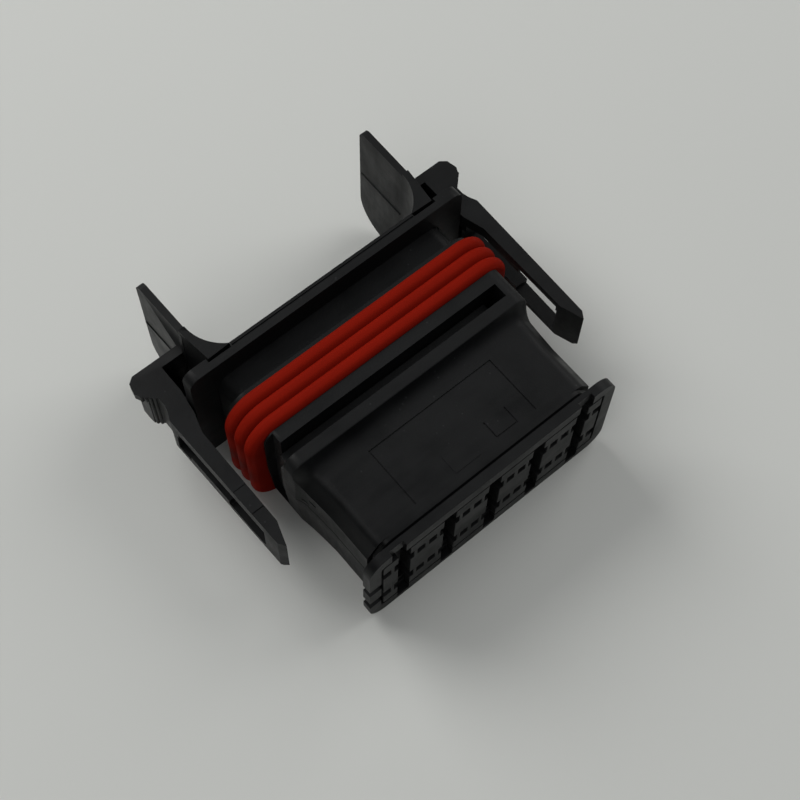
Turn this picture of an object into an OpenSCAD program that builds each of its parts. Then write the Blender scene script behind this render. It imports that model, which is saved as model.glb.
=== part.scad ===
// Ten way sealed plug housing with two side squeeze latches.
// Origin: centre of the mating face. +Y runs to the wire side, +Z is up.

/* [Contacts] */
// Number of contact columns
columns = 5; // [3:1:7]
// Distance between two columns
column_pitch = 6.5; // [6:0.1:7.5]
// Distance between the upper and the lower row
row_pitch = 6.2; // [5.6:0.1:6.8]
// Width of the blade that enters a contact
blade_w = 2.8; // [2:0.1:3.2]
// Thickness of the blade that enters a contact
blade_t = 0.8; // [0.6:0.1:1]
// Width of a contact box
contact_w = 3.4; // [3:0.1:3.8]
// Height of a contact box
contact_h = 2.6; // [2.2:0.1:3]
// Length of a contact box
contact_box_len = 12.2; // [10:0.1:12.4]
// Radius of the wire that a contact is made for
wire_r = 0.9; // [0.7:0.05:1.2]

/* [Mating flange] */
// Width of the flange round the mating face
face_w = 35.8; // [35:0.1:38]
// Height of the flange round the mating face
face_h = 16.3; // [15.6:0.1:18]
// Thickness of the flange round the mating face
face_t = 1.2; // [0.9:0.1:1.8]
// Corner radius of the flange
face_r = 2.6; // [1.5:0.1:3.5]
// Depth of the front grid
grid_t = 3; // [2.4:0.1:4]
// Depth of the slots in the front of the grid
slot_depth = 1.8; // [1.2:0.1:2]
// Width of the upright slots between two panels
slot_w = 1.75; // [1.4:0.05:2]

/* [Body] */
// Width of the body behind the flange
body_w = 32.6; // [32:0.1:33.4]
// Height of the body behind the flange
body_h = 14.6; // [14:0.1:15]
// Corner radius of the body
body_r = 2.4; // [1.5:0.1:3]
// Length of the body up to the collar, from the mating face
body_len = 14.4; // [12:0.1:17]
// Width of the collar
collar_w = 34.2; // [34:0.1:35.2]
// Height of the collar
collar_h = 16.4; // [15.8:0.1:16.8]
// Length of the collar
collar_len = 5; // [4.8:0.1:6.5]
// Thickness of the secondary lock
lock_t = 1.7; // [1.3:0.1:2]
// Travel of the secondary lock
lock_travel = 1.5; // [1:0.1:2]

/* [Ring seal] */
// Width over the ring seal
seal_w = 38; // [37.6:0.1:39]
// Height over the ring seal
seal_h = 17.6; // [17.4:0.1:18.6]
// Length of the ring seal
seal_len = 5.4; // [4.4:0.1:6.4]
// Radial depth of the ring seal
seal_depth = 2.4; // [2.2:0.1:2.6]
// Number of ribs round the ring seal
seal_ribs = 3; // [2:1:4]

/* [Rear frame] */
// Width of the tall rear frame
frame_w = 39.6; // [39:0.1:39.8]
// Height of the tall rear frame
frame_h = 19.4; // [18.4:0.1:21]
// Thickness of the rear frame
frame_t = 1.5; // [1.2:0.1:2.2]
// Corner radius of the rear frame
frame_r = 1.4; // [1:0.1:2.4]
// Length of the neck between the ring seal and the rear frame
neck_len = 3.4; // [3:0.05:5]

/* [Latches] */
// Gap between the side of the rear frame and an arm
arm_gap = 1.15; // [0.9:0.05:1.8]
// Thickness of an arm
arm_t = 2; // [1.7:0.05:2.2]
// Distance from the mating face to the tips of the arms
arm_tip = 9.3; // [7:0.1:12]
// Height of an arm and its lug
arm_h = 7; // [6.4:0.1:8]
// Height of the upper bar of an arm
upper_bar_h = 1.75; // [1.4:0.05:2.4]
// Height of the lower bar of an arm
lower_bar_h = 1.1; // [0.9:0.1:1.6]
// Length of a finger paddle behind the rear frame
paddle_len = 12.9; // [10:0.1:16]
// Thickness of a finger paddle
paddle_t = 0.9; // [0.8:0.05:1.3]
// Distance over the outer faces of the two paddles
paddles_w = 33.5; // [33:0.1:34.2]
// Angle that a latch turns when it is squeezed
latch_angle = 3; // [2:0.5:3]
// Radius of the hinge pins
hinge_r = 0.7; // [0.5:0.05:0.8]

/* [Fits] */
// Gap round a piece that sits in another
fit_gap = 0.1; // [0.05:0.01:0.15]
// Gap round a piece that moves
run_gap = 0.12; // [0.1:0.01:0.2]

/* [Hidden] */
$fn = 64;
CONTACTS = 2 * columns;

BLACK = [0.09, 0.10, 0.10];
GREY = [0.22, 0.23, 0.24];
SEAL_RED = [0.82, 0.16, 0.06];
SEAL_GREEN = [0.25, 0.42, 0.36];
TIN = [0.74, 0.72, 0.66];

// Stations along Y, from the mating face to the wire side.
collar_end = body_len + collar_len;
seal_start = collar_end;
seal_end = seal_start + seal_len;
rim_t = 0.7;
neck_start = seal_end + rim_t;
frame_start = neck_start + neck_len;
frame_end = frame_start + frame_t;

// Hinge line and spring leaf of a latch. The frame's relief follows the leaf's travel.
hinge_x = frame_w / 2 + 1;
leaf_foot = paddles_w / 2 - 3.5;
leaf_tip_t = 0.05;
leaf_gap = (hinge_x - leaf_foot) * tan(latch_angle) + 0.08;
leaf_relief = ceil(20 * (leaf_gap + leaf_tip_t)) / 20;
neck_end = frame_end - leaf_relief;

// Section of the seat under the ring seal, and of the neck.
seat_w = seal_w - 2 * seal_depth;
seat_h = seal_h - 2 * seal_depth;
seat_r = 1.8;
seal_r = seat_r + seal_depth;
neck_w = seat_w - 0.4;
neck_h = seat_h - 0.6;

// Rear pocket that holds the wire seal and its cover.
wall = 1.2;
pocket_w = neck_w - 2 * wall;
pocket_h = neck_h - 2 * wall;
pocket_r = 1.6;
cover_t = 2.4;
wire_seal_len = 4.6;
pocket_start = neck_end - cover_t - wire_seal_len;

// Front grid.
grid_w = face_w - 3.7;
grid_h = face_h - 4.2;
grid_seam = 0.22;
plate_t = face_t - 0.1;
grid_back_w = (columns - 1) * column_pitch + contact_w + 2 * fit_gap + 0.3;
grid_back_h = row_pitch + contact_h + 2 * fit_gap + 1.4;

function column_x(i) = (i - (columns - 1) / 2) * column_pitch;
function contact_x(n) = column_x((n - 1) % columns);
function contact_z(n) = n <= columns ? row_pitch / 2 : -row_pitch / 2;

// Rectangle with rounded corners, centred.
module rounded_rect(w, h, r) {
    square([w - 2 * r, h], center = true);
    square([w, h - 2 * r], center = true);
    for (sx = [-1, 1], sz = [-1, 1])
        translate([sx * (w / 2 - r), sz * (h / 2 - r)]) circle(r);
}

// Extrudes an XZ outline along Y, from y0 to y1.
module along_y(y0, y1) {
    translate([0, y1, 0]) rotate([90, 0, 0]) linear_extrude(y1 - y0) children();
}

// Plain rounded block along Y.
module rounded_bar(w, h, r, y0, y1) {
    along_y(y0, y1) rounded_rect(w, h, r);
}

// Box from one corner to the other.
module box(from, to) {
    translate(from) cube(to - from);
}

// Sweeps a profile round a rounded rectangle that lies across Y. The profile's
// X is the distance outward from the rectangle, and its Y is the Y axis.
module around(w, h, r) {
    for (i = [0:3]) {
        a = (i % 2 == 0 ? w : h) / 2 - r;
        b = (i % 2 == 0 ? h : w) / 2;
        rotate([0, 90 * i, 0]) {
            translate([a, 0, b]) rotate([0, -90, 0]) linear_extrude(2 * a) children();
            translate([a, 0, b - r]) rotate([-90, 0, 0]) rotate([0, 0, -90])
                rotate_extrude(angle = 90) translate([r, 0]) children();
        }
    }
}

// ---------------------------------------------------------------- housing

body_z = -0.7;
body_low_r = 1.2;

// Section of the body: wide corners above, tight corners below.
module body_section(w, h) {
    rounded_rect(w, h, body_r);
    translate([0, -h / 4]) rounded_rect(w, h / 2, body_low_r);
}

// Thin slice of the body, for the slopes up to the collar.
module body_slice(w, h, y) {
    translate([0, y, 0]) rotate([90, 0, 0]) linear_extrude(0.01) body_section(w, h, $fn = 32);
}

module housing_outside() {
    rounded_bar(face_w, face_h, face_r, 0, face_t);
    translate([0, 0, body_z]) along_y(face_t - 0.2, body_len) body_section(body_w, body_h);
    along_y(body_len, collar_end) body_section(collar_w, collar_h);
    rounded_bar(seat_w, seat_h, seat_r, collar_end - 0.1, seal_end + 0.1);
    rounded_bar(seat_w + 2.2, seat_h + 2.2, seat_r + 1, seal_end, neck_start);
    rounded_bar(neck_w, neck_h, seat_r, neck_start - 0.1, neck_end);
    // slope in front of the collar
    hull() {
        body_slice(collar_w, collar_h, body_len + 0.05);
        translate([0, 0, body_z]) body_slice(body_w, body_h, body_len - 1.9);
    }
    hull() {
        translate([0, 0, body_z]) body_slice(collar_w - 0.4, body_h, body_len);
        translate([0, 0, body_z]) body_slice(body_w, body_h, body_len - 6);
    }
}

neck_half = 0.9;
lock_y = body_len + 1.45;
lock_slot_end = collar_w / 2 - 1.9;
lock_top = collar_h / 2 - 2.8;
lock_bottom = -collar_h / 2 + 1.6;

module lock_channel() {
    box([-collar_w / 2 - 1, lock_y, lock_bottom - run_gap],
        [lock_slot_end, lock_y + lock_t + 2 * run_gap, collar_h / 2 + 1]);
}

// Cavities for the contacts, from the grid pocket to the wire seal pocket.
module cavities() {
    for (n = [1:CONTACTS])
        translate([contact_x(n), 0, contact_z(n)])
            box([-contact_w / 2 - fit_gap, grid_t - 0.1, -contact_h / 2 - fit_gap],
                [contact_w / 2 + fit_gap, pocket_start + 0.1, contact_h / 2 + fit_gap]);
}

// Long slots, open to the left edge of the flange.
module flange_side_slots() {
    for (z = [[0, 1.45], [-4.2, -2.6]])
        box([-face_w / 2 - 1, -1, z[0]], [-face_w / 2 + 1.5, face_t + 1, z[1]]);
}

// Recesses in the rim over and under the slots of the grid.
module rim_notches() {
    for (i = [0:columns - 1])
        box([column_x(i) - slot_w / 2, -1, -face_h / 2 + 0.7],
            [column_x(i) + slot_w / 2, 0.9, -grid_h / 2 + 0.1]);
    box([column_x(0) - 1.8, -1, grid_h / 2], [column_x(0) + 0.2, 0.6, face_h / 2 + 1]);
    box([column_x(columns - 1) - 0.6, -1, grid_h / 2], [column_x(columns - 1) + 1.4, 0.6, face_h / 2 + 1]);
}

// Fine step where the two halves of the mould meet, along both sides of the body.
module parting_grooves() {
    for (s = [-1, 1])
        translate([s * body_w / 2, (body_len - 7.4) / 2 + 2.2, body_z])
            cube([0.3, body_len - 7.4, 0.25], center = true);
}

module housing() {
    color(BLACK)
    difference() {
        housing_outside();
        rounded_bar(grid_w + 2 * grid_seam, grid_h + 2 * grid_seam, 0.5, -1, 0.8);
        rounded_bar(grid_w, grid_h, 0.4, -1, plate_t);
        rounded_bar(grid_back_w, grid_back_h, 0.4, -1, grid_t);
        parting_grooves();
        cavities();
        rounded_bar(pocket_w, pocket_h, pocket_r, pocket_start, neck_end + 1);
        lock_channel();
        flange_side_slots();
        rim_notches();
    }
}

// ------------------------------------------------------------- front grid

test_hole_x = 2.42;
test_hole_w = 1.1;
test_hole_h = 1.45;
test_hole_t = 0.85;

module front_grid() {
    color(GREY)
    difference() {
        union() {
            rounded_bar(grid_w - 2 * fit_gap, grid_h - 2 * fit_gap, 0.3, 0, plate_t - fit_gap);
            rounded_bar(grid_back_w - 2 * fit_gap, grid_back_h - 2 * fit_gap, 0.3, 0, grid_t - fit_gap);
        }
        for (i = [0:columns - 1]) {
            box([column_x(i) - slot_w / 2, -1, -grid_h], [column_x(i) + slot_w / 2, slot_depth, grid_h]);
            for (z = [-row_pitch / 2, row_pitch / 2]) {
                translate([column_x(i), 0, z])
                    box([-blade_w / 2, -1, -blade_t - 0.12], [blade_w / 2, grid_t + 1, blade_t + 0.12]);
                for (s = [-1, 1])
                    translate([column_x(i) + s * test_hole_x, 0, z])
                        box([-test_hole_w / 2, -1, -test_hole_h / 2], [test_hole_w / 2, test_hole_t, test_hole_h / 2]);
            }
        }
    }
}

// --------------------------------------------------------- secondary lock

module secondary_lock() {
    color(GREY)
    difference() {
        box([-collar_w / 2, lock_y + run_gap, lock_bottom],
            [lock_slot_end - lock_travel - run_gap, lock_y + run_gap + lock_t, lock_top]);
        for (n = [1:CONTACTS])
            translate([contact_x(n), 0, contact_z(n)])
                box([-neck_half - run_gap - lock_travel, lock_y - 1, -contact_h / 2 - fit_gap],
                    [contact_w / 2 + fit_gap, lock_y + lock_t + 1, contact_h / 2 + fit_gap]);
    }
}

// -------------------------------------------------------------- ring seal

module seal_profile() {
    rib_pitch = seal_len / seal_ribs;
    rib_r = rib_pitch / 2 * 0.94;
    translate([0.02, 0]) square([seal_depth - rib_r, seal_len]);
    for (i = [0:seal_ribs - 1])
        translate([seal_depth - rib_r, (i + 0.5) * rib_pitch]) circle(rib_r);
}

module ring_seal() {
    color(SEAL_RED)
    translate([0, seal_start, 0])
        intersection() {
            around(seat_w, seat_h, seat_r) seal_profile();
            rounded_bar(seal_w + 1, seal_h + 1, seal_r, 0.04, seal_len - 0.04);
        }
}

// ------------------------------------------------------------- rear frame

hinge_y = frame_end + 1.4;
ear_t = 1.8;
ear_r = 1.05;
latch_top = 3.9;
latch_bottom = latch_top - arm_h;
hinge_z = (latch_top + latch_bottom) / 2;
pin_h = arm_h - 2;

module frame_ear() {
    hull() {
        translate([hinge_x, hinge_y, hinge_z]) cylinder(h = ear_t, r = ear_r, center = true, $fn = 32);
        translate([frame_w / 2 - 1.2, frame_end - 0.3, hinge_z]) cube([2.2, 0.4, ear_t], center = true);
    }
}

module rear_frame() {
    color(BLACK)
    difference() {
        union() {
            rounded_bar(frame_w, frame_h, frame_r, frame_start, frame_end);
            for (s = [0, 1]) mirror([s, 0, 0]) {
                frame_ear();
                translate([hinge_x, hinge_y, hinge_z]) cylinder(h = pin_h, r = hinge_r, center = true);
            }
        }
        rounded_bar(neck_w + 2 * fit_gap, neck_h + 2 * fit_gap, seat_r, frame_start - 1, frame_end + 1);
        // reliefs that the spring leaves press into, and the seam along the top
        for (s = [0, 1]) mirror([s, 0, 0])
            box([leaf_foot - run_gap, frame_end - leaf_relief, -frame_h],
                [leaf_out + 2 * run_gap, frame_end + 1, frame_h]);
        box([-leaf_foot, neck_end, frame_h / 2 - 0.15], [leaf_foot, neck_end + 0.2, frame_h]);
    }
}

// ----------------------------------------------------------------- latches

arm_in = frame_w / 2 + arm_gap;
arm_out = arm_in + arm_t;
lug_out = arm_out + 1.15;
plate_over = 0.8;
lug_plate_t = 1.1;
arm_taper = 0.4;
paddle_out = paddles_w / 2;
paddle_in = paddle_out - paddle_t;
paddle_end = frame_end + paddle_len;
paddle_top = frame_h / 2 - 0.5;
paddle_lean = -0.8;
gusset_end = frame_end + 4.8;
bar_end = frame_end + 6.2;
bar_t = 1.2;
window_start = arm_tip + 3.4;
window_low = latch_bottom + lower_bar_h;
window_top = latch_top - upper_bar_h;
leaf_out = paddle_out - 0.55;

// Outline of arm and lug, seen from above.
module arm_outline() {
    polygon([
        [arm_in, arm_tip + 3], [arm_out - arm_taper - 0.6, arm_tip], [arm_out - arm_taper, arm_tip + 0.9],
        [arm_out, frame_start + 0.5], [arm_out - 0.5, frame_end + 0.1], [arm_out - 0.7, frame_end + 0.9],
        [arm_out - 0.7, frame_end + 2.1], [lug_out - 0.3, frame_end + 3.6],
        [lug_out, frame_end + 4.2], [lug_out - 0.3, frame_end + 5.6], [lug_out - 1.1, bar_end],
        [paddle_in + 0.2, bar_end], [paddle_in + 0.2, bar_end - bar_t],
        [frame_w / 2 - 0.1, bar_end - bar_t], [frame_w / 2 - 0.1, frame_end + 1.2],
        [frame_w / 2 + run_gap, frame_end], [frame_w / 2 + 0.35, frame_start - 0.3], [arm_in, frame_start - 3]
    ]);
}

// Grip ribs on the slanted front face of the lug.
module lug_ribs() {
    for (k = [0:3])
        translate([arm_out - 0.45 + 0.37 * k, frame_end + 2.42 + 0.36 * k, latch_bottom])
            cylinder(h = arm_h, r = 0.22, $fn = 24);
}

// What the grip stands back under the lug's top plate, seen from above.
module lug_set_back() {
    edge = lug_out - plate_over;
    polygon([
        [edge - 0.1, frame_end + 2.8], [edge, frame_end + 3.8], [edge, bar_end - 1.2], [edge - 0.3, bar_end - 0.5],
        [edge - 0.9, bar_end + 0.1], [edge - 0.9, bar_end + 1], [lug_out + 1, bar_end + 1],
        [lug_out + 1, frame_end + 2.8]
    ]);
}

module arm_and_lug() {
    difference() {
        union() {
            translate([0, 0, latch_bottom]) linear_extrude(arm_h) arm_outline();
            lug_ribs();
        }
        // window between the two bars, lower at its front end
        translate([arm_in - 3, 0, 0]) rotate([90, 0, 90]) linear_extrude(arm_t + 6)
            polygon([[window_start, window_low], [window_start, window_top],
                     [frame_start - 0.7, window_top], [frame_start - 0.7, window_low + 0.6],
                     [window_start + 5, window_low + 0.6]]);
        // chamfer under the tip
        translate([arm_in + arm_t / 2, arm_tip, latch_bottom]) rotate([45, 0, 0])
            cube([arm_t + 2, 0.85, 0.85], center = true);
        translate([0, 0, latch_bottom - 1]) linear_extrude(arm_h + 1 - lug_plate_t) lug_set_back();
        // hinge bore and the slot for the frame's ear
        translate([hinge_x, hinge_y, hinge_z])
            cylinder(h = pin_h + 2 * run_gap, r = hinge_r + 0.08, center = true);
        hull() {
            translate([hinge_x, hinge_y, hinge_z])
                cylinder(h = ear_t + 2 * run_gap, r = ear_r + 0.15, center = true, $fn = 32);
            translate([frame_w / 2 - 1.2, frame_end - 1, hinge_z])
                cube([5.4, 1.2, ear_t + 2 * run_gap], center = true);
        }
    }
}

// Finger paddle with its rounded rear corners, leaning out a little.
module paddle() {
    len = paddle_end - gusset_end;
    translate([paddle_in, gusset_end, 0]) rotate([0, 0, paddle_lean]) {
        rotate([90, 0, 90]) linear_extrude(paddle_t)
            difference() {
                translate([-0.5, -frame_h / 2]) square([len + 0.5, frame_h / 2 + paddle_top]);
                corner_cut(len, paddle_top, 1, 1);
                corner_cut(len, -frame_h / 2, 4.8, -1);
            }
        // mould ridge at mid height
        translate([-0.12, 0.2, 0.3]) cube([paddle_t + 0.24, len - 0.4, 0.24]);
    }
}

// What a fillet of radius r takes off the corner at (y, z).
module corner_cut(y, z, r, s) {
    difference() {
        translate([y - r, s > 0 ? z - r : z - 1]) square([r + 1, r + 1]);
        translate([y - r, z - s * r]) circle(r);
    }
}

// Spring leaf that blends the paddle towards the frame, seen from above.
module leaf_outline() {
    leaf_r = ((paddle_in - leaf_foot) ^ 2 + (gusset_end - frame_end) ^ 2) / (2 * (paddle_in - leaf_foot));
    difference() {
        polygon([[leaf_foot, frame_end], [leaf_foot, frame_end - leaf_relief + leaf_gap],
                 [leaf_out, frame_end - leaf_relief + leaf_gap * 0.8], [paddle_out, gusset_end],
                 [paddle_in, gusset_end]]);
        translate([paddle_in - leaf_r, gusset_end]) circle(leaf_r, $fn = 128);
    }
}

module latch() {
    arm_and_lug();
    paddle();
    translate([0, 0, -frame_h / 2]) linear_extrude(frame_h) leaf_outline();
}

module latch_right() {
    color(BLACK) latch();
}

module latch_left() {
    color(BLACK) mirror([1, 0, 0]) latch();
}

// ------------------------------------------------- wire seal and its cover

module wire_seal() {
    color(SEAL_GREEN)
    difference() {
        rounded_bar(pocket_w - 2 * fit_gap, pocket_h - 2 * fit_gap, pocket_r,
                    pocket_start + fit_gap, pocket_start + wire_seal_len - fit_gap);
        for (n = [1:CONTACTS])
            translate([contact_x(n), pocket_start - 1, contact_z(n)])
                rotate([-90, 0, 0]) cylinder(h = wire_seal_len + 2, r = wire_r);
    }
}

module seal_cover() {
    color(BLACK)
    difference() {
        rounded_bar(pocket_w - 2 * fit_gap, pocket_h - 2 * fit_gap, pocket_r, neck_end - cover_t, neck_end);
        for (n = [1:CONTACTS])
            translate([contact_x(n), neck_end - cover_t - 1, contact_z(n)])
                rotate([-90, 0, 0]) cylinder(h = cover_t + 2, r = wire_r + 0.5);
    }
}

// --------------------------------------------------------------- terminals

contact_wall = 0.35;
contact_start = grid_t + 0.1;
contact_end = pocket_start - 0.6;

// Sprung box, neck and open crimp barrel, along Y.
module terminal() {
    box_end = contact_start + contact_box_len;
    difference() {
        box([-contact_w / 2, contact_start, -contact_h / 2], [contact_w / 2, box_end, contact_h / 2]);
        box([-contact_w / 2 + contact_wall, contact_start - 1, -contact_h / 2 + contact_wall],
            [contact_w / 2 - contact_wall, box_end - contact_wall, contact_h / 2 - contact_wall]);
    }
    // spring tongue
    box([-0.8, contact_start + 1, -contact_h / 2], [0.8, box_end - 1, -contact_h / 2 + 0.8]);
    // neck
    box([-neck_half, box_end - 0.1, -contact_h / 2], [neck_half, contact_end, -contact_h / 2 + contact_wall]);
    // open crimp barrel
    translate([0, 0, -contact_h / 2 + contact_wall])
        along_y(contact_end - 3.6, contact_end)
            difference() {
                translate([0, wire_r]) circle(wire_r + contact_wall);
                translate([0, wire_r]) circle(wire_r);
                translate([0, 2 * wire_r]) square([4, 1.6 * wire_r], center = true);
            }
}

module place_terminal(n) {
    color(TIN) translate([contact_x(n), 0, contact_z(n)]) terminal();
}

// ------------------------------------------------------------------- parts

housing();
front_grid();
secondary_lock();
ring_seal();
rear_frame();
latch_left();
latch_right();
wire_seal();
seal_cover();
for (i = [1:CONTACTS])
    place_terminal(i);
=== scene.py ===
"""Looks of a ten way sealed plug: a moulded shell with a front grid, a ribbed
ring seal, a tall rear frame and two squeeze latches."""

import math

import bmesh
import bpy
from bpy.props import FloatProperty, FloatVectorProperty, IntProperty, PointerProperty
from mathutils import Matrix, Vector


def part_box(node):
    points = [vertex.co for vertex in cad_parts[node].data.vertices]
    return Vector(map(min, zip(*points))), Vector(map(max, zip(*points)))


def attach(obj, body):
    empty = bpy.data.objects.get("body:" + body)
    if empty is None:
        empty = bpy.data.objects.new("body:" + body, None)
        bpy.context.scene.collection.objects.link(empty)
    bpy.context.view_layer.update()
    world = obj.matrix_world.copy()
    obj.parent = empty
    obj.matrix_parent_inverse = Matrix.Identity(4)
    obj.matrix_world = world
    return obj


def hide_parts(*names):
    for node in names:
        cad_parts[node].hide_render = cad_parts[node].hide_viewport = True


bl_info = {
    "name": "Sealed plug looks",
    "version": (1, 0, 0),
    "blender": (4, 5, 0),
    "location": "3D View > Sidebar > Plug",
    "description": "Builds the pieces, finishes, light and camera of a sealed plug",
    "category": "Object",
}

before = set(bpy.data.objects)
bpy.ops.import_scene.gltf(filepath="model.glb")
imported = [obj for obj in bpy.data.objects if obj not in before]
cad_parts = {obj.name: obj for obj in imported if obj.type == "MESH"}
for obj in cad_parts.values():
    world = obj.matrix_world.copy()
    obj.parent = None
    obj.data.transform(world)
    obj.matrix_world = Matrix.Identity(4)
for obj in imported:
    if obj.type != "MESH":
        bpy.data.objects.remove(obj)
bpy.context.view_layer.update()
MM = 0.001
PER_MM = 1 / MM

# Corners of CAD nodes, in metres.
SHELL_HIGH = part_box("housing")[1]
SEAL_LOW, SEAL_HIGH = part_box("ring_seal")
FRAME_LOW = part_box("rear_frame")[0]

COLUMNS = 5
ROWS = 2
CONTACTS = [f"terminal_{n}" for n in range(1, ROWS * COLUMNS + 1)]

# All tables from here to the sizes are in millimetres, unless they say otherwise.

# Shell: widths, heights and corner radii across Y.
FACE_WIDTH, FACE_HEIGHT, FACE_RADIUS = 35.8, 16.3, 2.6
FLANGE_END = 1.2
SEAT_WIDTH, SEAT_HEIGHT, SEAT_RADIUS = 33.2, 12.8, 1.8
RIM_RADIUS = 2.8
BODY_RADIUS, BODY_LOW_RADIUS, COLLAR_RADIUS = 2.2, 1.4, 1.7
TROUGH_INSET = 0.7
SCORE_DEPTH = 0.3

# How far the trough behind the flange drops: y, drop.
TROUGH = ((1.201, 0.35), (1.75, 0.35), (1.95, 0.06), (2.4, 0))
# How the body widens towards the collar: y, growth of each half.
BODY = ((2.41, 0), (8.4, 0), (9.4, 0.06), (10.4, 0.12), (11.4, 0.19), (12.2, 0.26))
# The hollow slope from body to collar, how much of a quarter circle it takes, and the
# height of that part of the circle.
SLOPE_START, SLOPE_END, SLOPE_STEPS = 12.3, 14.2, 8
SLOPE_ARC, SLOPE_RISE = 0.93, 0.633

# Shoulder of the body over its side: distance in from the side, drop below the top.
SHOULDER = (
    (0.0, 2.2), (0.3, 1.83), (0.6, 1.4), (0.9, 0.96), (1.12, 0.64), (1.35, 0.37),
    (1.65, 0.16), (2.0, 0.05), (2.5, 0.0),
)
# Scored line on the sides: its height, where its notch starts above and ends below,
# and the notch's heel.
SCORE_Z, SCORE_ABOVE, SCORE_BELOW = 0.35, 0.12, 0.3
HEEL_BELOW, HEEL_SHARE = 0.14, 0.3
CORNER_STEPS = 8

# Rounded pockets of the shell.
GRID_WIDTH, GRID_HEIGHT, GRID_LIP = 32.1, 12.1, 0.44
CAVITY_WIDTH, CAVITY_HEIGHT = 29.9, 10.4
NECK_WALL, NECK_DEPTH, NECK_RADIUS = 2.8, 7, 1.6

# Boxes cut from the shell: two corners each.
SHELL_CUTS = (
    # lock channel, open to the left, where the wall behind it stands back
    ((-16.1, 15.85, -6.72), (15.2, 17.79, 12)),
    ((-30, 16.45, -6.72), (-15.9, 19.2, 12)),
    ((-30, 15.85, 5.4), (-15.9, 17.0, 12)),
    # two small marks of the mould on the left side
    ((-30, 11.2, 2.4), (-16.15, 12.3, 2.95)),
    ((-30, 12.3, 1.1), (-16.3, 13.5, 1.4)),
    # two keying slots in the left end of the flange
    ((-30, -1, 0), (-15.4, 1.15, 1.45)),
    ((-30, -1, 0), (-16.6, 2.1, 1.45)),
    ((-30, -1, -4.2), (-15.4, 1.15, -2.6)),
    ((-30, -1, -4.2), (-16.6, 2.1, -2.6)),
    # two notches in the upper edge of the flange
    ((-14.8, -1, 6.05), (-12.8, 0.6, 12)),
    ((12.4, -1, 6.05), (14.4, 0.6, 12)),
)

# Scored lines of the label field on the body's top: x0, y0, x1, y1. The first three
# are its border. Then the size of the lines, and a low pad.
LABEL_LINES = (
    (-8.7, 11.35, 8.9, 11.35), (-8.7, 3.4, -8.7, 11.35), (8.9, 3.6, 8.9, 11.35),
    (3.3, 3.7, 3.3, 5.9), (3.3, 3.7, 6.3, 3.7), (6.3, 3.7, 6.3, 5.9),
)
LABEL_HALF_WIDTH, LABEL_DEPTH = 0.085, 0.14
PAD_LOW, PAD_HIGH, PAD_SINK, PAD_RISE = (-3.0, 3.3), (0.6, 6.0), 0.5, 0.06

# Front grid: its panels and its core behind them, as width, height, end; its openings.
GRID_PANELS, GRID_CORE, GRID_RADIUS = (31.9, 11.9, 1.0), (29.7, 10.2, 2.9), 0.3
BLADE_LOW, BLADE_HIGH = (-1.4, -1, -0.92), (1.4, 4, 0.92)
TEST_HOLE_X, TEST_HOLE_HALF = (-2.42, 2.42), (0.55, 0.725)
GRID_EDGE = 0.11

# Ring seal: corner of its path, points of its profile, share of them over the ribs,
# and the powers that shape a rib.
SEAL_CORNER, SEAL_CORNER_STEPS = 1.8, 12
PROFILE_POINTS, OUTER_SHARE = 160, 0.85
RIB_STEEPNESS, RIB_FULLNESS = 2.6, 0.75

# Seam pads on the frame, at both ends: place and half width in X, then Y and Z.
SEAM_X, SEAM_HALF_WIDTH, SEAM_Y, SEAM_Z = 13.17, 0.06, (29.6, 30.4), 9.69
# The end of the lock plate that is taken away, so that the channel looks open.
LOCK_END = ((-30, 0, -20), (-16.25, 40, 20))

# What is cut from each lever, for its right hand: two corners, slope and lean.
LEVER_CUTS = (
    # lowered floor of the window at its front, and a slope under the upper bar
    ((20.0, 12.9, -2.35), (24.0, 19.4, 0.0)),
    ((20.0, 12.9, 0.0), (21.3, 19.4, 2.15), 0.0, 2.79),
    # lowered floor at its back
    ((20.0, 26.4, -2.3), (24.0, 28.7, 1.0)),
)
# Lines across the upper face of the left lever's arm.
LEFT_LEVER_SCORES = (
    ((20.0, 14.55, 3.76), (24.0, 14.69, 5.0)),
    ((20.0, 17.9, 3.81), (24.0, 18.01, 5.0)),
)
# Thin web that closes the pocket between lug and paddle.
LEVER_WEB = ((17.6, 32.2, -2.95), (20.3, 35.4, -2.3))

# Clean-up of meshes, in metres and degrees, and the rounding of edges.
WELD, FINE_WELD = 2e-6, 1e-7
FLAT_ANGLE, BEVEL_ANGLE, SHARP_ANGLE, SEAL_SHARP_ANGLE = 0.4, 32, 38, 50
BEVEL_SEGMENTS = 3

# Floor: half size in metres, height of the flange's foot, and a gap under it.
FLOOR_HALF, FLANGE_FOOT, FLOOR_GAP = 1.2, -8.15, 0.02
FLOOR_DARKER = 0.97
# World: how its light grows with height, where it starts, and what is left below.
SKY_SLOPE, SKY_START, SKY_REST = 1.7, 0.6, 0.004
SKY_COLOUR = (0.95, 0.98, 1.0, 1)
# Soft round lamps: name, direction, share of the key's power. They aim at one point.
LAMPS = (
    ("rear", (-0.25, 1.0, 0.8), 1.0),
    ("right", (1.0, 0.0, 0.75), 0.55),
    ("high", (-0.75, -0.35, 1.1), 0.24),
)
LAMP_DISTANCE, LAMP_SIZE, LAMP_COLOUR = 0.6, 0.45, (1.0, 0.995, 0.975)
LAMP_AIM = (0, 18, 0)
# Camera: angles in degrees, then its place along its own axes and a lift.
AZIMUTH, ELEVATION, ROLL = -41.43, 65.267, 1.816
CAMERA_BACK, CAMERA_LEFT, CAMERA_OVER, CAMERA_LIFT = 173.419, 10.462, 11.25, 0.3
SENSOR_WIDTH, CLIP_START = 36, 0.01


# ------------------------------------------------------------------ sizes


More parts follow.
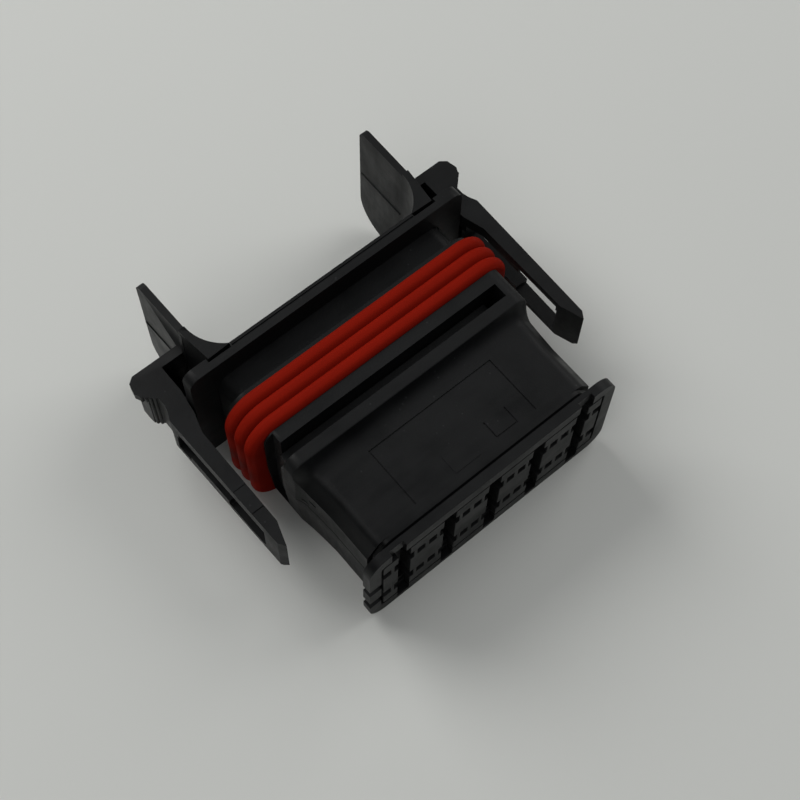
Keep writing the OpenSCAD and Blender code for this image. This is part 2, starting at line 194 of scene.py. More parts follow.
def length(name, text, value):
    """A length property, with its default in millimetres."""
    return FloatProperty(
        name=name, description=text, default=value * MM, unit="LENGTH", precision=5)


def colour(name, text, value):
    """A linear colour property."""
    return FloatVectorProperty(
        name=name, description=text, default=value, subtype="COLOR", size=3, min=0, max=1)


class PlugSizes(bpy.types.PropertyGroup):
    """Sizes of the shell and of its grid."""

    body_width: length("Body width", "Width of the body behind the flange", 32.6)
    body_top: length("Body top", "Height of the body's top surface", 6.6)
    body_bottom: length("Body bottom", "Height of the body's underside", -8.0)
    collar_width: length("Collar width", "Width of the collar in front of the seal", 34.2)
    collar_top: length("Collar top", "Height of the collar's top", 8.2)
    column_pitch: length("Column pitch", "Distance between two contact columns", 6.5)
    row_pitch: length("Row pitch", "Distance between the two contact rows", 6.2)
    slot_width: length("Slot width", "Width of the upright slots of the grid", 1.75)
    edge: length("Edge", "Softness of the moulded edges", 0.16)


class SealSizes(bpy.types.PropertyGroup):
    """Sizes of the ring seal."""

    depth: length("Depth", "Radial depth of the seal", 2.4)
    groove: length("Groove", "Depth of the grooves between two ribs", 0.62)
    ribs: IntProperty(
        name="Ribs", description="Number of ribs round the seal", default=3, min=1, max=6)


class Finishes(bpy.types.PropertyGroup):
    """Colours of the mouldings, the seals and the contacts."""

    black: colour("Black", "Moulded black plastic", (0.0027, 0.0029, 0.0032))
    grid: colour("Grid", "Plastic of the front grid", (0.0055, 0.0058, 0.006))
    seal: colour("Seal", "Rubber of the ring seal", (0.19, 0.0075, 0.0028))
    wire_seal: colour("Wire seal", "Rubber of the wire seal", (0.06, 0.13, 0.10))
    tin: colour("Tin", "Plated contacts", (0.62, 0.60, 0.55))
    floor: colour("Floor", "Colour of the floor", (0.665, 0.675, 0.655))


class StageSizes(bpy.types.PropertyGroup):
    """Light and camera."""

    lens: FloatProperty(name="Lens", description="Focal length in millimetres", default=69.15)
    key: FloatProperty(
        name="Key", description="Power of the large soft lamp", default=2.1, unit="POWER")
    fill: FloatProperty(name="Fill", description="Strength of the world's light", default=0.28)


# ----------------------------------------------------------- node expressions


class Val:
    """One socket of a node tree, with arithmetic that adds Math nodes."""

    def __init__(self, maker, socket):
        self.maker = maker
        self.socket = socket

    def math(self, operation, *others):
        node = self.maker.tree.nodes.new("ShaderNodeMath")
        node.operation = operation
        for socket, value in zip(node.inputs, (self, *others)):
            self.maker.put(socket, value)
        return Val(self.maker, node.outputs[0])

    def __add__(self, other):
        return self.math("ADD", other)

    def __sub__(self, other):
        return self.math("SUBTRACT", other)

    def __rsub__(self, other):
        return self.maker.val(other).math("SUBTRACT", self)

    def __mul__(self, other):
        return self.math("MULTIPLY", other)

    def __truediv__(self, other):
        return self.math("DIVIDE", other)

    def __pow__(self, other):
        return self.math("POWER", other)

    def __gt__(self, other):
        return self.math("GREATER_THAN", other)

    def __lt__(self, other):
        return self.math("LESS_THAN", other)

    def clamp(self):
        result = self.math("ADD", 0.0)
        result.socket.node.use_clamp = True
        return result


class Maker:
    """Adds nodes to one tree."""

    def __init__(self, tree):
        self.tree = tree

    def put(self, socket, value):
        if isinstance(value, Val):
            self.tree.links.new(value.socket, socket)
        else:
            socket.default_value = value

    def val(self, number):
        node = self.tree.nodes.new("ShaderNodeValue")
        node.outputs[0].default_value = number
        return Val(self, node.outputs[0])

    def node(self, kind, settings=None, out=0, **sockets):
        """Any node: its settings first, then its sockets by name or by number (as _0, _1)."""
        made = self.tree.nodes.new(kind)
        for key, value in (settings or {}).items():
            setattr(made, key, value)
        for key, value in sockets.items():
            numbered = key[1:].isdigit()
            self.put(made.inputs[int(key[1:]) if numbered else key.replace("_", " ")], value)
        return Val(self, made.outputs[out])

    def blend(self, factor, first, second):
        """Mixes two colours."""
        return self.node(
            "ShaderNodeMix", {"data_type": "RGBA"}, out=2, _0=factor, _6=first, _7=second)

    def finish(self, kind, value):
        """Links a value to a new output node."""
        self.tree.links.new(value.socket, self.tree.nodes.new(kind).inputs[0])


def empty_tree(block):
    """Turns on the nodes of a material or a world, and clears them."""
    block.use_nodes = True
    block.node_tree.nodes.clear()
    return Maker(block.node_tree)


def material(name, colours, rough, grain, speck=0.0, metal=0.0, spec=0.5):
    """A procedural finish: mottled colour, uneven gloss, fine grain and small pale specks."""
    mat = bpy.data.materials.new(name)
    m = empty_tree(mat)
    place = m.node("ShaderNodeTexCoord", out=3)
    base, light = colours

    def noise(scale, detail=2.0, stretch=None):
        where = place
        if stretch:
            where = m.node("ShaderNodeMapping", Vector=place, Scale=stretch)
        return m.node(
            "ShaderNodeTexNoise", Vector=where, Scale=scale, Detail=detail, Roughness=0.55)

    mottle = noise(260)
    cloud = noise(70)
    streak = noise(420, 3.0, (0.25, 3.0, 1.0))
    tone = (mottle - 0.5) * 0.8 + (cloud - 0.5) * 0.9 + (streak - 0.5) * 0.35 + 0.5
    shade = m.blend(tone.clamp(), (*base, 1), (*light, 1))
    if speck:
        dots = m.node("ShaderNodeTexVoronoi", {"feature": "F1"}, Vector=place, Scale=900.0)
        patch = noise(120)
        dust = ((dots < 0.10) * (patch > 0.56) * speck).clamp()
        pale = tuple(min(1.0, c * 3.5 + 0.03) for c in light)
        shade = m.blend(dust, shade, (*pale, 1))
    gloss = (cloud - 0.5) * 0.3 + (mottle - 0.5) * 0.3 + (streak - 0.5) * 0.2 + rough
    gloss = gloss.clamp()
    fine = noise(5200)
    coarse = noise(900, 3.0)
    relief = fine * 0.55 + coarse * 0.9
    bump = m.node("ShaderNodeBump", Strength=1.0, Distance=grain, Height=relief)
    m.finish("ShaderNodeOutputMaterial", m.node(
        "ShaderNodeBsdfPrincipled", Base_Color=shade, Roughness=gloss, Normal=bump,
        Metallic=metal, Specular_IOR_Level=spec))
    return mat


FINISH = {}


def finishes():
    """Makes every finish once, from the colours in the panel."""
    if FINISH:
        return FINISH
    look = bpy.context.scene.plug_finishes

    def pair(tint, gain=1.7):
        return tuple(tint), tuple(min(1.0, c * gain) for c in tint)

    # The edge finish is a painted highlight: the bevelled edges take a black twice as light, in
    # place of light caught on the edges.
    edge_highlight_tint = [c * 2.0 for c in look.black]
    FINISH["black"] = material(
        "black moulding", pair(look.black, 2.2), 0.48, 2.4e-5, speck=0.25, spec=0.2)
    FINISH["edge"] = material("painted edge highlight", pair(edge_highlight_tint), 0.42, 0.8e-5, spec=0.3)
    FINISH["grid"] = material(
        "grid moulding", pair(look.grid), 0.5, 1.6e-5, speck=0.15, spec=0.2)
    FINISH["seal"] = material("seal rubber", pair(look.seal, 1.25), 0.65, 0.6e-5, spec=0.02)
    FINISH["wire_seal"] = material("wire seal rubber", pair(look.wire_seal, 1.3), 0.55, 0.6e-5)
    FINISH["tin"] = material("tin plate", pair(look.tin, 1.15), 0.34, 0.3e-5, metal=1.0)
    return FINISH


# ------------------------------------------------------------------- meshes


def new_piece(name, mesh):
    """Links a mesh as a piece at the origin."""
    piece = bpy.data.objects.new(name, mesh)
    bpy.context.scene.collection.objects.link(piece)
    return piece


def to_piece(name, bm):
    """Turns a bmesh into a piece, with its faces pointing outwards."""
    mesh = bpy.data.meshes.new(name)
    weld_into(mesh, bm)
    return new_piece(name, mesh)


def weld_into(mesh, bm):
    """Welds a bmesh, turns its faces outwards and writes it into a mesh."""
    bmesh.ops.remove_doubles(bm, verts=bm.verts, dist=FINE_WELD)
    bmesh.ops.recalc_face_normals(bm, faces=bm.faces)
    bm.to_mesh(mesh)
    bm.free()


def settle(piece):
    """Turns live modifiers into a plain mesh."""
    bpy.context.view_layer.update()
    graph = bpy.context.evaluated_depsgraph_get()
    mesh = bpy.data.meshes.new_from_object(piece.evaluated_get(graph), depsgraph=graph)
    mesh.name = piece.name
    piece.modifiers.clear()
    piece.data = mesh


def carve(piece, cutter, operation="DIFFERENCE"):
    """Takes an object away from a piece, or joins it to the piece. The object goes."""
    step = piece.modifiers.new("carve", "BOOLEAN")
    step.operation = operation
    step.solver = "EXACT"
    step.use_self = True
    step.object = cutter
    settle(piece)
    bpy.data.objects.remove(cutter)


def merge_flat(piece):
    """Joins the faces of a piece that lie in one plane."""
    bm = bmesh.new()
    bm.from_mesh(piece.data)
    bmesh.ops.remove_doubles(bm, verts=bm.verts, dist=WELD)
    bmesh.ops.dissolve_degenerate(bm, dist=WELD, edges=bm.edges)
    bmesh.ops.dissolve_limit(
        bm, angle_limit=math.radians(FLAT_ANGLE), verts=bm.verts, edges=bm.edges)
    bm.to_mesh(piece.data)
    bm.free()


def soften(piece, width, scores=()):
    """Rounds the sharp edges of a piece, which take its last finish, then cuts its fine
    scores, whose edges stay sharp, and smooths its shading."""
    merge_flat(piece)
    step = piece.modifiers.new("edges", "BEVEL")
    step.width = width
    step.segments = BEVEL_SEGMENTS
    # The bevel faces take the last finish; on the black pieces that is the painted edge
    # highlight.
    step.material = len(piece.data.materials) - 1
    step.limit_method = "ANGLE"
    step.angle_limit = math.radians(BEVEL_ANGLE)
    step.use_clamp_overlap = True
    step.miter_outer = "MITER_ARC"
    settle(piece)
    for cutter in scores:
        carve(piece, cutter)
    if scores:
        merge_flat(piece)
    piece.data.shade_smooth()
    piece.data.set_sharp_from_angle(angle=math.radians(SHARP_ANGLE))
    step = piece.modifiers.new("normals", "WEIGHTED_NORMAL")
    step.keep_sharp = True
    settle(piece)


def wear(piece, *names):
    """Gives a piece its finishes."""
    look = finishes()
    piece.data.materials.clear()
    for name in names:
        piece.data.materials.append(look[name])


def belongs(piece, body, nodes, slot):
    """Says what a piece rides on and what it stands for. The slot is not used."""
    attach(piece, body)
    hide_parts(*nodes)


def copy_of(node, name):
    """A copy of a CAD node's mesh as a piece."""
    return new_piece(name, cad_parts[node].data.copy())


def box(low, high):
    """A box between two corners, in millimetres."""
    bm = bmesh.new()
    low, high = Vector(low) * MM, Vector(high) * MM
    for v in bmesh.ops.create_cube(bm, size=1.0)["verts"]:
        v.co = (low + high) / 2 + Vector([v.co[i] * (high[i] - low[i]) for i in range(3)])
    return to_piece("box", bm)


def side_box(sign, low, high, slope=0.0, lean=0.0):
    """A box for one side of the plug, given for the right. It rises along Y by a slope,
    and its top rises by the lean at its inner side."""
    x = sorted((sign * low[0], sign * high[0]))
    piece = box((x[0], *low[1:]), (x[1], *high[1:]))
    middle = (Vector(low) + Vector(high)) / 2 * MM
    for v in piece.data.vertices:
        v.co.z += (v.co.y - middle.y) * slope
        if v.co.z > middle.z and abs(v.co.x) < middle.x:
            v.co.z += lean * MM
    return piece


def pattern(columns, rows, pitch, row_pitch, low, high):
    """Equal boxes on a lattice of columns (X) and rows (Z), in millimetres, by Geometry
    Nodes. The corners are those of a box in the middle."""
    tree = bpy.data.node_groups.get("block lattice") or lattice()
    piece = new_piece("lattice", bpy.data.meshes.new("lattice"))
    step = piece.modifiers.new("lattice", "NODES")
    step.node_group = tree
    low, high = Vector(low) * MM, Vector(high) * MM
    given = {"Columns": columns, "Rows": rows, "Pitch": pitch * MM,
             "Row pitch": row_pitch * MM, "Centre": (low + high) / 2, "Size": high - low}
    for item in tree.interface.items_tree:
        if item.in_out == "INPUT" and item.name in given:
            step[item.identifier] = given[item.name]
    settle(piece)
    return piece


def new_group(name, kinds):
    """An empty geometry node group: the tree, its maker, its inputs by name and their ids."""
    tree = bpy.data.node_groups.new(name, "GeometryNodeTree")
    ids = {}
    for label, kind in kinds.items():
        ids[label] = tree.interface.new_socket(
            label, in_out="INPUT", socket_type=f"NodeSocket{kind}").identifier
    tree.interface.new_socket(
        "Geometry", in_out="OUTPUT", socket_type="NodeSocketGeometry")
    m = Maker(tree)
    given = tree.nodes.new("NodeGroupInput")
    return tree, m, {o.name: Val(m, o) for o in given.outputs if o.name}, ids


def dress(m, shape, look):
    """Ends a geometry node group: real geometry, with a finish."""
    whole = m.node("GeometryNodeRealizeInstances", Geometry=shape)
    m.finish("NodeGroupOutput", m.node(
        "GeometryNodeSetMaterial", Geometry=whole, Material=finishes()[look]))


def lattice():
    """The node group behind pattern()."""
    tree, m, inp, _ = new_group("block lattice", {
        "Columns": "Int", "Rows": "Int", "Pitch": "Float", "Row pitch": "Float",
        "Centre": "Vector", "Size": "Vector"})
    column_step = m.node("ShaderNodeCombineXYZ", X=inp["Pitch"], Y=0.0, Z=0.0)
    row_step = m.node("ShaderNodeCombineXYZ", X=0.0, Y=0.0, Z=inp["Row pitch"])
    first = m.node(
        "ShaderNodeCombineXYZ", X=(1 - inp["Columns"]) * inp["Pitch"] / 2.0, Y=0.0,
        Z=(1 - inp["Rows"]) * inp["Row pitch"] / 2.0)
    start = m.node(
        "ShaderNodeVectorMath", {"operation": "ADD"}, _0=first, _1=inp["Centre"])
    columns = m.node("GeometryNodeMeshLine", Count=inp["Columns"], Start_Location=start,
                     Offset=column_step)
    rows = m.node("GeometryNodeMeshLine", Count=inp["Rows"], Start_Location=(0, 0, 0),
                  Offset=row_step)
    spots = m.node("GeometryNodeInstanceOnPoints", Points=rows, Instance=columns)
    spots = m.node("GeometryNodeRealizeInstances", Geometry=spots)
    cube = m.node("GeometryNodeMeshCube", Size=inp["Size"])
    dress(m, m.node("GeometryNodeInstanceOnPoints", Points=spots, Instance=cube), "black")
    return tree


def ring(bm, y, points):
    """Adds a ring of vertices across Y, from points in millimetres."""
    return [bm.verts.new((x * MM, y * MM, z * MM)) for x, z in points]


def skin(bm, rings):
    """Joins rings of equal length and closes both ends."""
    for a, b in zip(rings, rings[1:]):
        for i in range(len(a)):
            j = (i + 1) % len(a)
            bm.faces.new((a[i], a[j], b[j], b[i]))
    bm.faces.new(rings[0])
    bm.faces.new(list(reversed(rings[-1])))


def mix(a, b, t):
    return a + (b - a) * t


def outline(width, height, radius, steps):
    """Points of a rounded rectangle across Y, in millimetres."""
    points = []
    for sx, sz, start in ((1, 1, 0), (-1, 1, 90), (-1, -1, 180), (1, -1, 270)):
        cx, cz = sx * (width / 2 - radius), sz * (height / 2 - radius)
        for k in range(steps + 1):
            a = math.radians(start + 90 * k / steps)
            points.append((cx + radius * math.cos(a), cz + radius * math.sin(a)))
    return points


def bar(name, width, height, radius, y0, y1, steps):
    """A rounded block along Y, in millimetres."""
    bm = bmesh.new()
    points = outline(width, height, radius, steps)
    skin(bm, [ring(bm, y, points) for y in (y0, y1)])
    return to_piece(name, bm)


def moulded(halves, low, high, r_top, r_low, rail, score):
    """Half a section across Y, mirrored: a rounded top or, as rail grows to 1, the
    shoulder; a scored line of a given depth; and a lower wall that may lean. The three
    halves are the half widths above the line, below it and at the foot."""
    upper, middle, bottom = halves
    side = []
    for k, (inward, down) in enumerate(SHOULDER):
        a = math.radians(90 * k / (len(SHOULDER) - 1))
        x, z = upper - r_top + r_top * math.cos(a), high - r_top + r_top * math.sin(a)
        side.append((mix(x, upper - inward, rail), mix(z, high - down, rail)))
    side.reverse()
    side += [
        (upper, SCORE_Z + SCORE_ABOVE), (upper - score, SCORE_Z),
        (middle - score * HEEL_SHARE, SCORE_Z - HEEL_BELOW), (middle, SCORE_Z - SCORE_BELOW)]
    for k in range(CORNER_STEPS + 1):
        a = math.radians(90 * k / CORNER_STEPS)
        side.append((bottom - r_low + r_low * math.cos(a), low + r_low - r_low * math.sin(a)))
    return side + [(-x, z) for x, z in reversed(side)]


# ------------------------------------------------------------------- pieces


class PLUG_OT_shell(bpy.types.Operator):
    """Builds the moulded shell: flange, body, collar, seal seat and neck"""

    bl_idname = "plug.shell"
    bl_label = "Shell"

    def execute(self, context):
        s = context.scene.plug_sizes
        top = s.body_top * PER_MM
        shell = self.skin_of(s, top)
        for cutter in self.cutters(s, top):
            carve(shell, cutter)
        pad = box((*PAD_LOW, top - PAD_SINK), (*PAD_HIGH, top + PAD_RISE))
        carve(shell, pad, "UNION")
        wear(shell, "black", "edge")
        soften(shell, s.edge)
        belongs(shell, "plug_body", ["housing"], "black_plastic")
        return {"FINISHED"}

    def skin_of(self, s, top):
        """The closed outer form, section by section from front to back."""
        half, wide = s.body_width * PER_MM / 2, s.collar_width * PER_MM / 2
        low, collar_top = s.body_bottom * PER_MM, s.collar_top * PER_MM
        seal_start, seal_end = SEAL_LOW.y * PER_MM - 0.04, SEAL_HIGH.y * PER_MM + 0.04
        bm = bmesh.new()
        rings = []

        def add(y, halves, lo, hi, r_top, r_low, rail=0.0, score=0.0):
            rings.append(ring(bm, y, moulded(halves, lo, hi, r_top, r_low, rail, score)))

        def plain(y, width, half_height, radius):
            add(y, (width / 2,) * 3, -half_height, half_height, radius, radius)

        for y in (0, FLANGE_END):
            plain(y, FACE_WIDTH, FACE_HEIGHT / 2, FACE_RADIUS)
        for y, drop in TROUGH:
            add(y, (half - TROUGH_INSET, half - 0.1, half - 0.3), low, top - drop,
                BODY_RADIUS, BODY_LOW_RADIUS, 1.0)
        for y, out in BODY:
            add(y, (half + out, half + out, half - 0.3 + out * 1.3), low, top,
                BODY_RADIUS, BODY_LOW_RADIUS, 1.0, SCORE_DEPTH)
        grown = half + BODY[-1][1]
        for k in range(1, SLOPE_STEPS + 1):
            t = k / SLOPE_STEPS
            rise = (1 - math.sqrt(1 - (t * SLOPE_ARC) ** 2)) / SLOPE_RISE
            upper = mix(grown, wide, t ** 2)
            add(mix(SLOPE_START, SLOPE_END, t),
                (upper, upper, mix(half + 0.04, wide - 0.5, t)),
                mix(low, -collar_top, t), mix(top, collar_top - 0.35, min(1, rise)),
                2.0, BODY_LOW_RADIUS, 1 - t ** 2, SCORE_DEPTH * (1 - t))
        # the collar's rounded front edge, its top, and the seat of the seal
        for y, drop in ((14.32, 0.1), (14.5, 0), (seal_start, 0)):
            add(y, (wide, wide, wide - 0.5), -collar_top, collar_top - drop,
                COLLAR_RADIUS, BODY_LOW_RADIUS)
        for y in (seal_start + 0.001, seal_end):
            plain(y, SEAT_WIDTH, SEAT_HEIGHT / 2, SEAT_RADIUS)
        # rim behind the seal, its groove, and the neck: y past the seal, added width
        for y, w in ((0.001, 2.2), (0.7, 2.2), (0.701, -1.0), (1.25, -1.0), (1.251, -0.4),
                     (SHELL_HIGH.y * PER_MM - seal_end, -0.4)):
            rise, radius = (w / 2, RIM_RADIUS) if w > 0 else (w / 2 - 0.1, SEAT_RADIUS)
            plain(seal_end + y, SEAT_WIDTH + w, SEAT_HEIGHT / 2 + rise, radius)
        skin(bm, rings)
        return to_piece("shell", bm)

    def cutters(self, s, top):
        """Everything that is cut from the shell, one after the other."""
        pitch, row_pitch = s.column_pitch * PER_MM, s.row_pitch * PER_MM
        end = SHELL_HIGH.y * PER_MM
        for width, height, radius, y0, y1 in (
                (GRID_WIDTH + GRID_LIP, GRID_HEIGHT + GRID_LIP, 0.5, -1, 0.8),
                (GRID_WIDTH, GRID_HEIGHT, 0.4, -1, 1.1),
                (CAVITY_WIDTH, CAVITY_HEIGHT, 0.4, -1, 3.0),
                (SEAT_WIDTH - NECK_WALL, CAVITY_HEIGHT, NECK_RADIUS, end - NECK_DEPTH, end + 1)):
            yield bar("cut", width, height, radius, y0, y1, 6)
        for low, high in SHELL_CUTS:
            yield box(low, high)
        # notches under the grid, and the cavities of the contacts
        yield pattern(COLUMNS, 1, pitch, row_pitch,
                      (-0.875, -1, 0.7 - FACE_HEIGHT / 2), (0.875, 0.9, 0.1 - GRID_HEIGHT / 2))
        yield pattern(COLUMNS, ROWS, pitch, row_pitch, (-1.8, 2.5, -1.4), (1.8, end - 6.9, 1.4))
        line = LABEL_HALF_WIDTH
        for x0, y0, x1, y1 in LABEL_LINES:
            yield box((min(x0, x1) - line, min(y0, y1) - line, top - LABEL_DEPTH),
                      (max(x0, x1) + line, max(y0, y1) + line, top + 1))


class PLUG_OT_grid(bpy.types.Operator):
    """Builds the front grid with its slots, blade openings and test holes"""

    bl_idname = "plug.grid"
    bl_label = "Front grid"

    def execute(self, context):
        s = context.scene.plug_sizes
        pitch, row_pitch = s.column_pitch * PER_MM, s.row_pitch * PER_MM
        slot = s.slot_width * PER_MM / 2
        grid, core = [
            bar(name, width, height, GRID_RADIUS, 0, end, 4) for name, (width, height, end)
            in (("grid_panels", GRID_PANELS), ("core", GRID_CORE))]
        carve(grid, core, "UNION")
        carve(grid, pattern(COLUMNS, 1, pitch, 0, (-slot, -1, -8), (slot, 1.8, 8)))
        carve(grid, pattern(COLUMNS, ROWS, pitch, row_pitch, BLADE_LOW, BLADE_HIGH))
        wide, high = TEST_HOLE_HALF
        for x in TEST_HOLE_X:
            carve(grid, pattern(COLUMNS, ROWS, pitch, row_pitch,
                                (x - wide, -1, -high), (x + wide, 0.9, high)))
        soften(grid, GRID_EDGE * MM)
        wear(grid, "grid")
        belongs(grid, "plug_body", ["front_grid"], "grey_plastic")
        return {"FINISHED"}


class PLUG_OT_ring_seal(bpy.types.Operator):
    """Builds the ring seal: a ribbed profile swept round a rounded rectangle"""

    bl_idname = "plug.ring_seal"
    bl_label = "Ring seal"

    def execute(self, context):
        s = context.scene.plug_seal
        values = {
            "Width": SEAL_HIGH.x - SEAL_LOW.x - 2 * s.depth,
            "Height": SEAL_HIGH.z - SEAL_LOW.z - 2 * s.depth,
            "Corner": SEAL_CORNER * MM, "Length": SEAL_HIGH.y - SEAL_LOW.y,
            "Depth": s.depth, "Groove": s.groove, "Ribs": float(s.ribs)}
        tree, m, inp, ids = new_group("ring seal sweep", dict.fromkeys(values, "Float"))
        path = m.node("GeometryNodeCurvePrimitiveQuadrilateral",
                      _0=inp["Width"], _1=inp["Height"])
        path = m.node("GeometryNodeFilletCurve", {"mode": "POLY"},
                      Curve=path, Count=SEAL_CORNER_STEPS, Radius=inp["Corner"])
        # The closed profile: most points run over the ribs, the rest back along the seat.
        circle = m.node("GeometryNodeCurvePrimitiveCircle",
                        Resolution=PROFILE_POINTS, Radius=0.001)
        t = m.node("GeometryNodeInputIndex") / float(PROFILE_POINTS)
        out = t < OUTER_SHARE
        along = out * (t / OUTER_SHARE) + (1 - out) * ((1 - t) / (1 - OUTER_SHARE))
        phase = (along * inp["Ribs"]).math("FRACT")
        bulge = 1 - ((phase * 2.0 - 1.0).math("ABSOLUTE") ** RIB_STEEPNESS)
        bulge = bulge.math("MAXIMUM", 0.0) ** RIB_FULLNESS
        crest = inp["Depth"] - inp["Groove"] + inp["Groove"] * bulge
        where = m.node("ShaderNodeCombineXYZ",
                       X=out * crest, Y=(along - 0.5) * inp["Length"], Z=0.0)
        profile = m.node("GeometryNodeSetPosition", Geometry=circle, Position=where)
        dress(m, m.node("GeometryNodeCurveToMesh", Curve=path, Profile_Curve=profile), "seal")

        seal = new_piece("ring_seal_ribs", bpy.data.meshes.new("ring_seal_ribs"))
        step = seal.modifiers.new("sweep", "NODES")
        step.node_group = tree
        for name, value in values.items():
            step[ids[name]] = value
        settle(seal)
        turn = Matrix.Rotation(math.radians(90), 4, "X")
        turn.translation = Vector((0, (SEAL_LOW.y + SEAL_HIGH.y) / 2, 0))
        seal.data.transform(turn)
        bm = bmesh.new()
        bm.from_mesh(seal.data)
        weld_into(seal.data, bm)
        seal.data.shade_smooth()
        seal.data.set_sharp_from_angle(angle=math.radians(SEAL_SHARP_ANGLE))
        belongs(seal, "plug_body", ["ring_seal"], "seal_rubber")
        return {"FINISHED"}


class PLUG_OT_mouldings(bpy.types.Operator):
    """Softens the edges of the frame, the lock and the wire side"""

    bl_idname = "plug.mouldings"
    bl_label = "Frame, lock and wire side"

    def execute(self, context):
        edge = context.scene.plug_sizes.edge
        # Black moulding, with the painted edge highlight on its bevels.
        black = ("black", "edge")
        for node, name, body, looks, slot, width in (
                ("rear_frame", "frame_plate", "plug_body", black, "black_plastic", edge),
                ("secondary_lock", "lock_plate", "lock_plate", black, "grey_plastic",
                 edge * 0.6),
                ("seal_cover", "cover_plate", "plug_body", black, "black_plastic", edge),
                ("wire_seal", "wire_seal_pad", "plug_body", ("wire_seal",),
                 "wire_seal_rubber", edge)):
            piece = copy_of(node, name)
            if node == "secondary_lock":
                carve(piece, box(*LOCK_END))
            if node == "rear_frame":
                for sign in (-1, 1):
                    x = sign * SEAM_X
                    carve(piece, box((x - SEAM_HALF_WIDTH, SEAM_Y[0], -SEAM_Z),
                                     (x + SEAM_HALF_WIDTH, SEAM_Y[1], SEAM_Z)), "UNION")
            wear(piece, *looks)
            soften(piece, width)
            belongs(piece, body, [node], slot)
        return {"FINISHED"}


class PLUG_OT_latches(bpy.types.Operator):
    """Builds the two squeeze latches"""

    bl_idname = "plug.latches"
    bl_label = "Latches"

    def execute(self, context):
        edge = context.scene.plug_sizes.edge
        for side, sign, scores in (("left", -1, LEFT_LEVER_SCORES), ("right", 1, ())):
            piece = copy_of(f"latch_{side}", f"{side}_lever")
            for cut in LEVER_CUTS:
                carve(piece, side_box(sign, *cut))
            carve(piece, side_box(sign, *LEVER_WEB), "UNION")
            wear(piece, "black", "edge")
            soften(piece, edge, [side_box(sign, *score) for score in scores])
            belongs(piece, f"{side}_latch", [f"latch_{side}"], "black_plastic")
        return {"FINISHED"}


class PLUG_OT_contacts(bpy.types.Operator):
    """Gives the contacts their plated finish"""

    bl_idname = "plug.contacts"
    bl_label = "Contacts"

    def execute(self, context):
        for node in CONTACTS:
            wear(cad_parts[node], "tin")
        return {"FINISHED"}


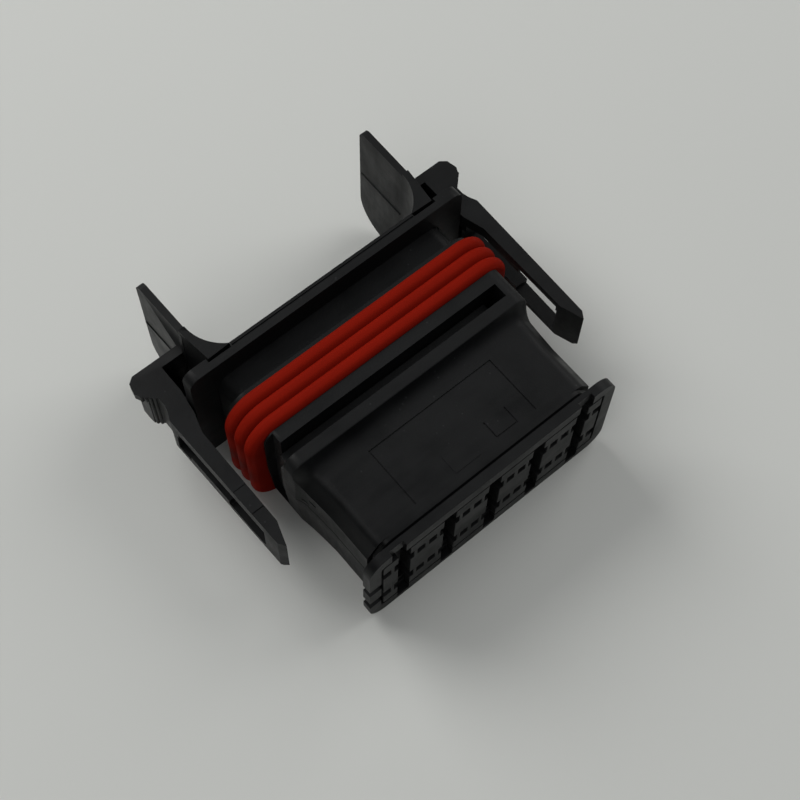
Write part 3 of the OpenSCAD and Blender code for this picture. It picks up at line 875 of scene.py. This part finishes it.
class PLUG_OT_stage(bpy.types.Operator):
    """Sets the floor, the light and the camera"""

    bl_idname = "plug.stage"
    bl_label = "Floor, light and camera"

    def execute(self, context):
        scene = context.scene
        self.add_floor(scene)
        self.add_world(scene)
        self.add_lamps(scene)
        self.add_camera(scene)
        scene.view_settings.view_transform = "Standard"
        return {"FINISHED"}

    def add_floor(self, scene):
        """The plug leans on the foot of its flange and on the foot of its frame."""
        front = Vector((0, 0, FLANGE_FOOT * MM))
        rear = Vector((0, FRAME_LOW.y, FRAME_LOW.z))
        slope = math.atan2(rear.z - front.z, rear.y - front.y)
        bm = bmesh.new()
        bmesh.ops.create_grid(bm, x_segments=2, y_segments=2, size=FLOOR_HALF)
        lowered = Matrix.Translation(front + Vector((0, 0, -FLOOR_GAP * MM)))
        bm.transform(lowered @ Matrix.Rotation(slope, 4, "X"))
        floor = to_piece("floor", bm)
        mat = bpy.data.materials.new("floor")
        m = empty_tree(mat)
        place = m.node("ShaderNodeTexCoord", out=3)
        soft = m.node("ShaderNodeTexNoise", Vector=place, Scale=9.0, Detail=1.0)
        light = tuple(scene.plug_finishes.floor)
        dark = tuple(c * FLOOR_DARKER for c in light)
        m.finish("ShaderNodeOutputMaterial", m.node(
            "ShaderNodeBsdfPrincipled", Base_Color=m.blend(soft, (*dark, 1), (*light, 1)),
            Roughness=0.75, Specular_IOR_Level=0.2))
        floor.data.materials.append(mat)

    def add_world(self, scene):
        """A dim ceiling over dark surroundings."""
        world = bpy.data.worlds.new("studio")
        w = empty_tree(world)
        place = w.node("ShaderNodeTexCoord", out=0)
        height = w.node("ShaderNodeSeparateXYZ", out=2, Vector=place)
        fill = scene.plug_stage.fill
        power = (height * SKY_SLOPE - SKY_START).clamp() * fill + SKY_REST
        w.finish("ShaderNodeOutputWorld", w.node(
            "ShaderNodeBackground", Color=SKY_COLOUR, Strength=power))
        scene.world = world

    def add_lamps(self, scene):
        """Large soft lamps round the plug."""
        middle = Vector(LAMP_AIM) * MM
        for name, direction, share in LAMPS:
            lamp = bpy.data.lights.new(name, "AREA")
            lamp.shape = "DISK"
            lamp.size = LAMP_SIZE
            lamp.energy = scene.plug_stage.key * share
            lamp.color = LAMP_COLOUR
            ob = bpy.data.objects.new(name, lamp)
            aim = Vector(direction).normalized()
            turn = aim.to_track_quat("Z", "Y").to_matrix().to_4x4()
            ob.matrix_world = Matrix.Translation(middle + aim * LAMP_DISTANCE) @ turn
            scene.collection.objects.link(ob)

    def add_camera(self, scene):
        """The camera looks down from the front and the left."""
        azimuth, elevation, roll = map(math.radians, (AZIMUTH, ELEVATION, ROLL))
        back = Vector((math.sin(azimuth) * math.cos(elevation),
                       -math.cos(azimuth) * math.cos(elevation), math.sin(elevation)))
        flat = Vector((math.cos(azimuth), math.sin(azimuth), 0))
        up = back.cross(flat)
        right = flat * math.cos(roll) + up * math.sin(roll)
        over = up * math.cos(roll) - flat * math.sin(roll)
        spot = (back * CAMERA_BACK - right * CAMERA_LEFT + over * CAMERA_OVER
                + Vector((0, 0, CAMERA_LIFT))) * MM
        lens = bpy.data.cameras.new("camera")
        lens.sensor_width = SENSOR_WIDTH
        lens.lens = scene.plug_stage.lens
        lens.clip_start = CLIP_START
        camera = bpy.data.objects.new("camera", lens)
        turn = Matrix((right, over, back)).transposed().to_4x4()
        camera.matrix_world = Matrix.Translation(spot) @ turn
        scene.collection.objects.link(camera)
        scene.camera = camera


class PLUG_PT_panel(bpy.types.Panel):
    """Lists the pieces and their sizes"""

    bl_label = "Sealed plug"
    bl_idname = "PLUG_PT_panel"
    bl_space_type = "VIEW_3D"
    bl_region_type = "UI"
    bl_category = "Plug"

    def draw(self, context):
        column = self.layout.column()
        for step in STEPS:
            column.operator(step.bl_idname)
        for group in GROUPS:
            owner = getattr(context.scene, group)
            for key in owner.__annotations__:
                column.prop(owner, key)


STEPS = (PLUG_OT_stage, PLUG_OT_shell, PLUG_OT_grid, PLUG_OT_ring_seal, PLUG_OT_mouldings,
         PLUG_OT_latches, PLUG_OT_contacts)
GROUPS = {"plug_sizes": PlugSizes, "plug_seal": SealSizes, "plug_finishes": Finishes,
          "plug_stage": StageSizes}


def register():
    for group, kind in GROUPS.items():
        bpy.utils.register_class(kind)
        setattr(bpy.types.Scene, group, PointerProperty(type=kind))
    for step in STEPS:
        bpy.utils.register_class(step)
    bpy.utils.register_class(PLUG_PT_panel)


def unregister():
    bpy.utils.unregister_class(PLUG_PT_panel)
    for step in reversed(STEPS):
        bpy.utils.unregister_class(step)
    for group, kind in GROUPS.items():
        delattr(bpy.types.Scene, group)
        bpy.utils.unregister_class(kind)


def main():
    register()
    for step in STEPS:
        group, name = step.bl_idname.split(".")
        getattr(getattr(bpy.ops, group), name)()


if __name__ == "__main__":
    main()
